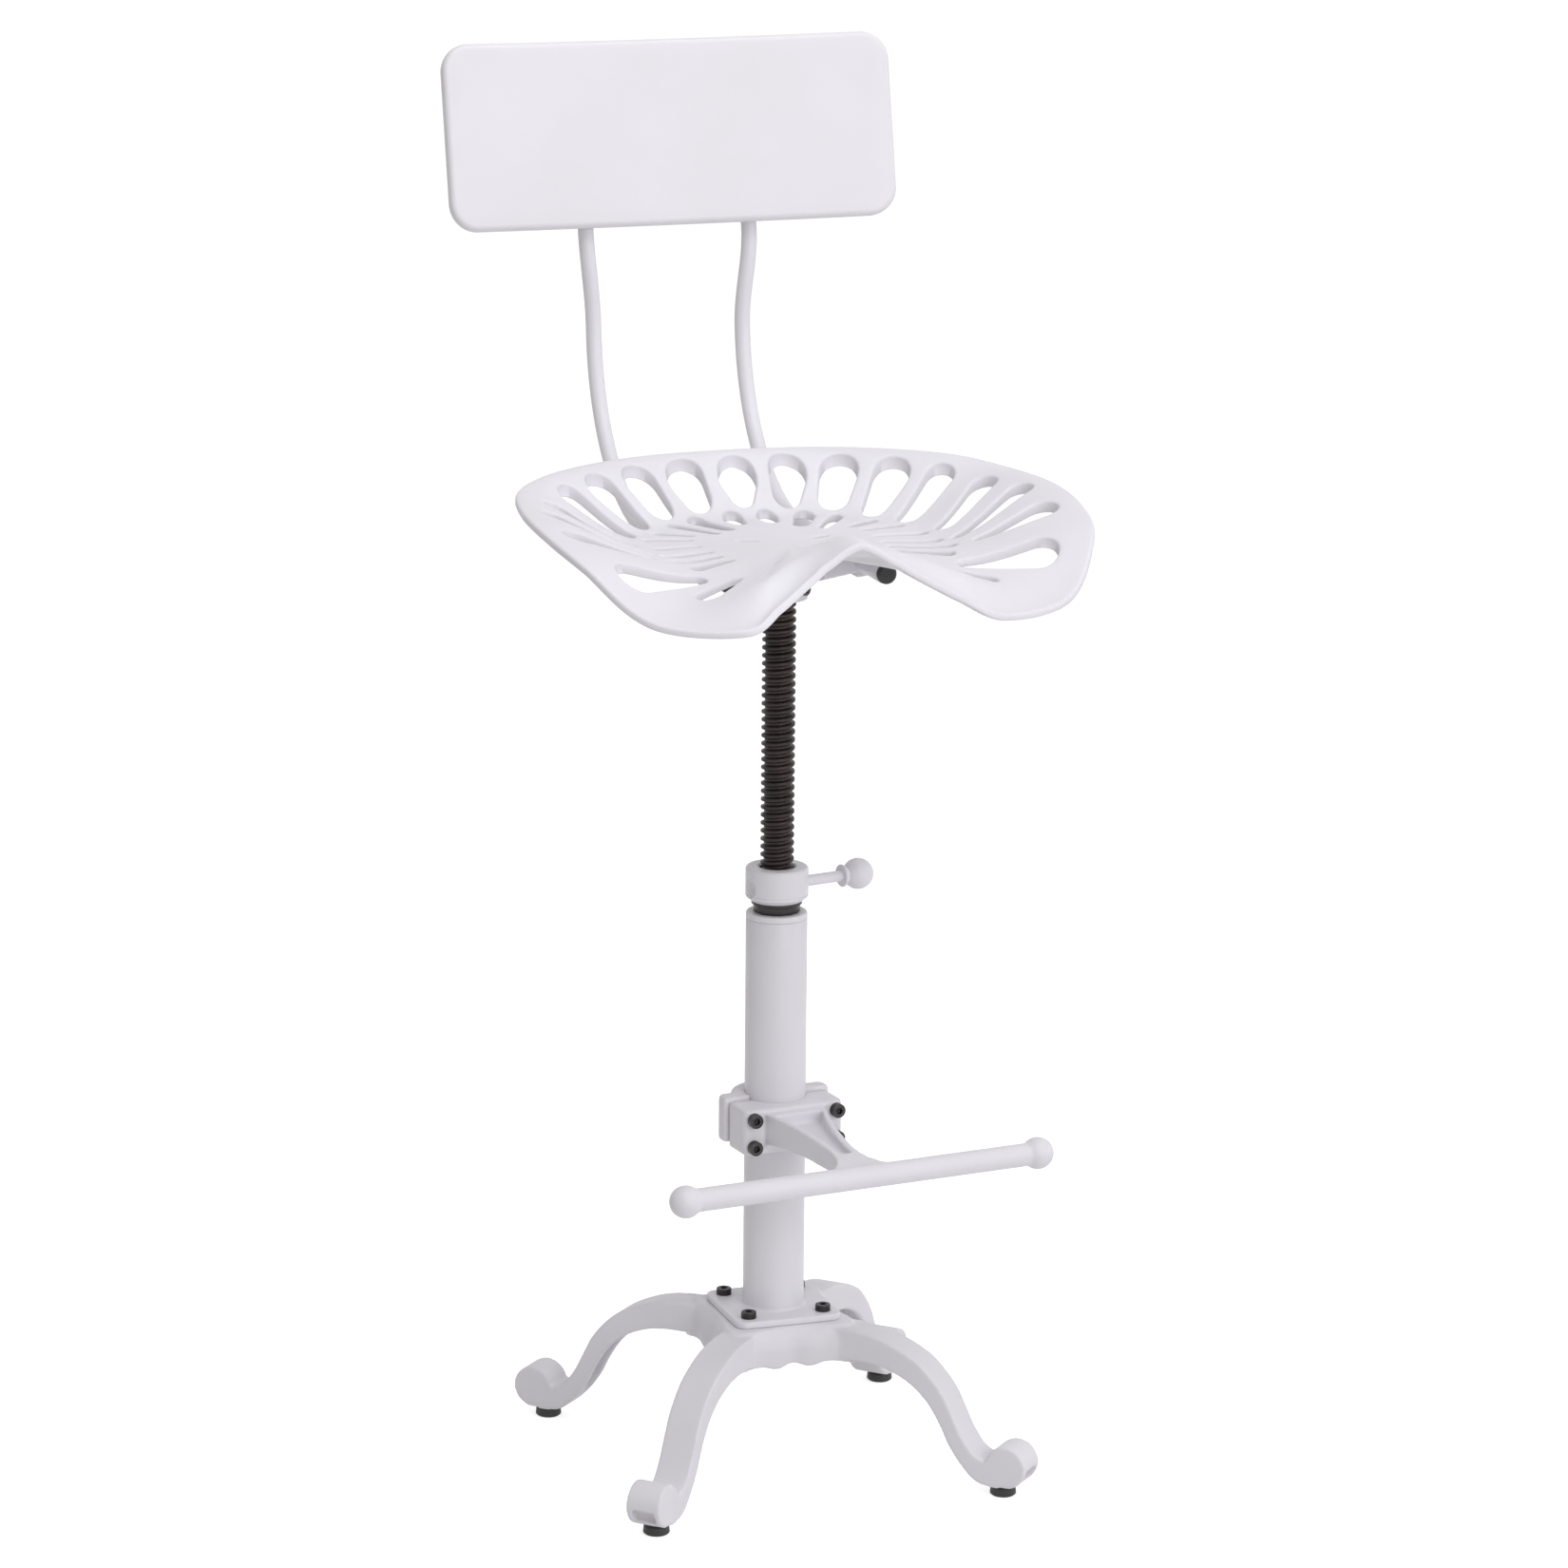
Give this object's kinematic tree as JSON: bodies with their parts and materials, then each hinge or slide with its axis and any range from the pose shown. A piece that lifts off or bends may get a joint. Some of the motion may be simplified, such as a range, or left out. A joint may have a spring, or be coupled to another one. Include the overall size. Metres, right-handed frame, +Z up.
{
  "type": "stool",
  "caption": "Swivel stool with a slotted, dished metal seat and a curved backrest on a screw column, a clamped footrest bar and a cast base with curled legs.",
  "frame": {"origin": "on the floor, under the middle of the whole stool's box", "axes": "+Z up along the column, +Y towards the backrest, the sitter faces -Y, +X to the side of the lock handle"},
  "size_m": [0.4362, 0.5416, 1.0965],
  "materials": {
    "painted_castings": "white powder coat, satin",
    "painted_steel": "white powder coat, satin",
    "painted_board": "white paint, satin",
    "screw_steel": "blackened and oiled",
    "black_fasteners": "black oxide",
    "black_plastic": "matte",
    "guide_nylon": "matte"
  },
  "bodies": {
    "column_base": {"base_casting": "painted_castings", "foot_glide_1": "black_plastic", "foot_glide_2": "black_plastic", "foot_glide_3": "black_plastic", "foot_glide_4": "black_plastic", "flange_plate": "painted_steel", "flange_screw_1": "black_fasteners", "flange_screw_2": "black_fasteners", "flange_screw_3": "black_fasteners", "flange_screw_4": "black_fasteners", "column_tube": "painted_steel", "column_top_ring": "painted_steel", "thread_bush": "black_fasteners", "lock_collar": "painted_steel"},
    "footrest": {"footrest_casting": "painted_castings", "clamp_rear": "painted_castings", "clamp_screw_1": "black_fasteners", "clamp_screw_2": "black_fasteners", "clamp_screw_3": "black_fasteners", "clamp_screw_4": "black_fasteners"},
    "screw_guide": {"rod_guide": "guide_nylon"},
    "seat": {"threaded_rod": "screw_steel", "rod_stop_washer": "black_fasteners", "rod_stop_screw": "black_fasteners", "seat_casting": "painted_castings", "seat_bracket": "painted_castings", "seat_bolt_1": "black_fasteners", "seat_bolt_2": "black_fasteners", "seat_bolt_3": "black_fasteners", "seat_bolt_4": "black_fasteners", "boss_screw_1": "black_fasteners", "boss_screw_2": "black_fasteners", "back_tube_left": "painted_steel", "back_tube_right": "painted_steel", "tube_plug_left": "black_plastic", "tube_plug_right": "black_plastic", "backrest_panel": "painted_board", "back_screw_1": "black_fasteners", "back_screw_2": "black_fasteners", "back_screw_3": "black_fasteners", "back_screw_4": "black_fasteners"},
    "lock_handle": {"lock_handle_rod": "painted_steel", "lock_handle_knob": "painted_steel"}
  },
  "joints": [
    {"name": "seat_lift", "type": "slide", "parent": "column_base", "child": "screw_guide", "axis": [0, 0, 1], "range_m": [-0.2033, 0.0255]},
    {"name": "seat_turn", "type": "hinge", "parent": "screw_guide", "child": "seat", "pos_m": [0, -0.04839, 0.7], "axis": [0, 0, 1], "range_deg": [-11520, 1440]},
    {"name": "footrest_height", "type": "slide", "parent": "column_base", "child": "footrest", "axis": [0, 0, 1], "range_m": [-0.118, 0.14]},
    {"name": "lock_screw_turn", "type": "hinge", "parent": "column_base", "child": "lock_handle", "pos_m": [0.03913, -0.04007, 0.4691], "axis": [0.9781, 0.2079, 0], "range_deg": [-540, 0]}
  ],
  "couplings": [
    {"joint": "seat_lift", "follows": "seat_turn", "m_per_rad": 0.0010106}
  ]
}
